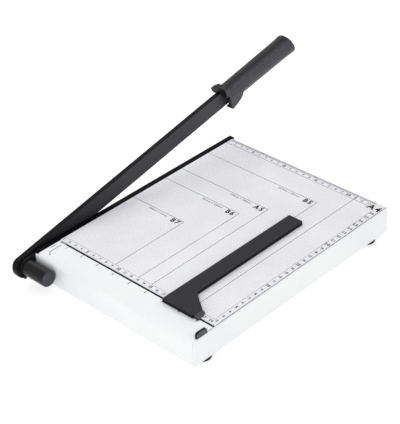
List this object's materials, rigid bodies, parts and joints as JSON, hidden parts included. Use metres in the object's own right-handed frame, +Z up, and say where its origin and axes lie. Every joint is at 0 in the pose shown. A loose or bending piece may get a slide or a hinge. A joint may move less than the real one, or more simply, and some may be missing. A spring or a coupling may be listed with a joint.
{
  "type": "guillotine paper cutter",
  "caption": "Desktop paper guillotine with a hinged blade arm, a spring-loaded pivot, a printed measuring table and a sliding back gauge.",
  "frame": {"origin": "under the middle of the whole cutter, on the surface that its feet stand on, with the arm raised as stored", "axes": "+X right along the gauge slot, +Y back along the cutting edge from the pivot end, +Z up"},
  "size_m": [0.2689, 0.4742, 0.1376],
  "materials": {
    "base_paint": "white powder coat, satin",
    "printed_film": "pale blue-grey printed scale sheet, fine grain",
    "rail_black": "black paint, satin",
    "knife_black": "black finish with a ground shear edge",
    "blade_black": "black paint, satin, ground cutting edge",
    "zinc_steel": "bright zinc plate",
    "spring_steel": "drawn wire and strip",
    "bush_brass": "turned",
    "foot_rubber": "moulded black rubber",
    "cover_plastic": "black moulded plastic, semi-gloss",
    "grip_plastic": "black moulded plastic, fine texture",
    "cap_plastic": "black moulded plastic",
    "stop_plastic": "black moulded plastic",
    "gauge_plastic": "charcoal moulded plastic, satin"
  },
  "bodies": {
    "base": {"base_shell": "base_paint", "scale_sheet": "printed_film", "guide_rail": "rail_black", "side_rail": "rail_black", "rail_screws": "zinc_steel", "rail_nuts": "zinc_steel", "bed_knife": "knife_black", "knife_screws": "zinc_steel", "foot_front_left": "foot_rubber", "foot_front_right": "foot_rubber", "foot_back_left": "foot_rubber", "foot_back_right": "foot_rubber", "foot_screws": "zinc_steel", "end_stop": "stop_plastic", "stop_rivets": "zinc_steel", "pivot_bolt": "zinc_steel", "spring_seat": "zinc_steel", "pivot_spring": "spring_steel", "spring_washer": "zinc_steel", "lock_nut": "zinc_steel", "spring_cover": "cover_plastic"},
    "arm": {"blade_arm": "blade_black", "stop_pin": "rail_black", "pivot_bush": "bush_brass", "bolt_washer": "zinc_steel", "handle_grip": "grip_plastic", "handle_cap": "cap_plastic", "handle_screws": "zinc_steel"},
    "gauge": {"back_gauge": "gauge_plastic", "gauge_shoe": "zinc_steel", "gauge_spring": "spring_steel", "gauge_screws": "zinc_steel"}
  },
  "joints": [
    {"name": "arm_hinge", "type": "hinge", "parent": "base", "child": "arm", "pos_m": [-0.11705, -0.22091, 0.0254], "axis": [1, 0, 0], "range_deg": [-10.6, 43]},
    {"name": "gauge_slide", "type": "slide", "parent": "base", "child": "gauge", "axis": [1, 0, 0], "range_m": [-0.165, 0.02]}
  ]
}
